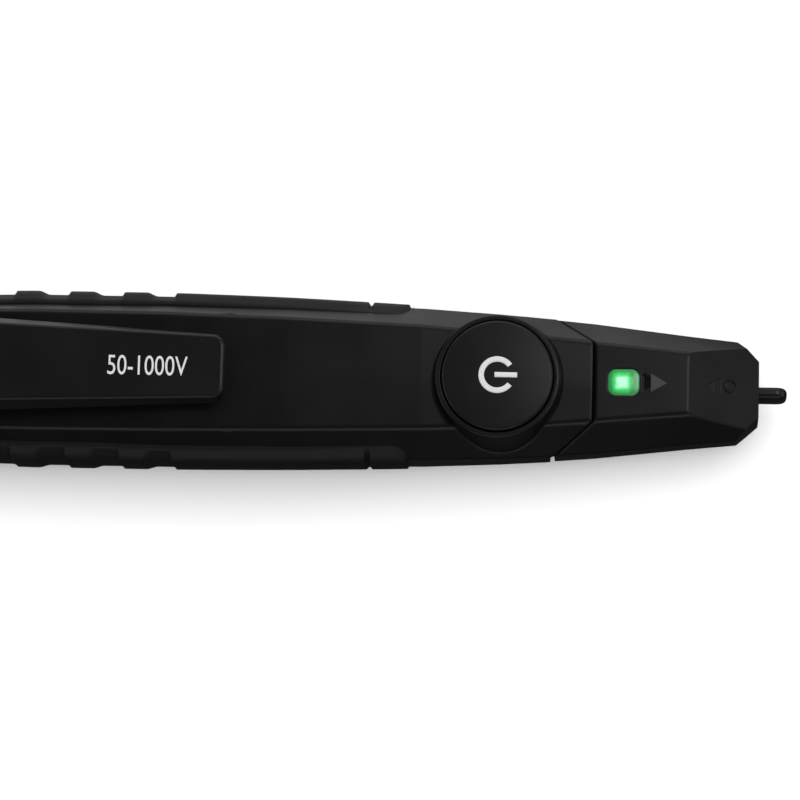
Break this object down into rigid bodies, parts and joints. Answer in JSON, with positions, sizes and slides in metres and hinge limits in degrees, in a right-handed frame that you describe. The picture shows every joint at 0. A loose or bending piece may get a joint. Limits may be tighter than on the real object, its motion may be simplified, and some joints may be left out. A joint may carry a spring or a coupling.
{
  "type": "non-contact voltage tester",
  "caption": "Pen-type non-contact voltage tester with bevelled black housing, rubber grips, pocket clip, round power button, green status window and thin sensing tip.",
  "frame": {"origin": "middle of the tester's length and width, on the surface that its back lies on", "axes": "+X along the tester to its sensing tip, +Z out of the face with the button, +Y across"},
  "size_m": [0.16, 0.0276, 0.0283],
  "materials": {
    "housing": "fine moulded texture, satin",
    "rubber": "soft matte overmould",
    "gloss_black": "polished moulding",
    "button_black": "satin, printed symbol",
    "seal": "moulded silicone rubber",
    "green_lens": "frosted lit window",
    "white_plastic": "moulded nylon",
    "board": "solder mask on glass epoxy",
    "chip": "moulded epoxy",
    "capacitor": "fired ceramic",
    "steel": "zinc-plated steel",
    "nickel": "nickel-plated spring steel",
    "brass": "turned brass",
    "cell_wrap": "printed shrink sleeve"
  },
  "bodies": {
    "housing": {"front_shell": "housing", "back_shell": "housing", "head_cap": "housing", "button_bezel": "gloss_black", "clip_base": "housing", "grip_left": "rubber", "grip_right": "rubber", "head_gasket": "seal", "status_window": "green_lens", "status_led": "white_plastic", "sensor_tip": "gloss_black", "sensor_antenna": "brass", "circuit_board": "board", "main_chip": "chip", "amplifier_chip": "chip", "capacitors": "capacitor", "resistors": "chip", "buzzer": "chip", "tact_switch": "steel", "cell_left": "cell_wrap", "cell_right": "cell_wrap", "battery_cradle": "white_plastic", "front_contacts": "nickel", "tail_insert": "brass", "housing_screws": "steel", "head_screw": "steel", "clip_screws": "steel"},
    "button": {"power_button": "button_black"},
    "plunger": {"switch_plunger": "white_plastic"},
    "clip": {"pocket_clip": "gloss_black"},
    "tail_cover": {"tail_cap": "housing", "tail_seal": "seal", "tail_screw": "steel", "tail_contact_plate": "nickel", "cell_springs": "nickel"}
  },
  "joints": [
    {"name": "power_button_press", "type": "slide", "parent": "housing", "child": "button", "axis": [0, 0, -1], "range_m": [0, 0.0006], "stiffness_N_per_m": 1500, "springref_m": -0.0001},
    {"name": "switch_plunger_press", "type": "slide", "parent": "housing", "child": "plunger", "axis": [0, 0, -1], "range_m": [0, 0.0006]},
    {"name": "clip_flex", "type": "hinge", "parent": "housing", "child": "clip", "pos_m": [-0.051, 0, 0.0269], "axis": [0, -1, 0], "range_deg": [0, 6], "stiffness_Nm_per_rad": 2},
    {"name": "tail_cap_pull", "type": "slide", "parent": "housing", "child": "tail_cover", "axis": [-1, 0, 0], "range_m": [0, 0.03]}
  ],
  "couplings": [
    {"joint": "switch_plunger_press", "follows": "power_button_press", "ratio": 1}
  ]
}
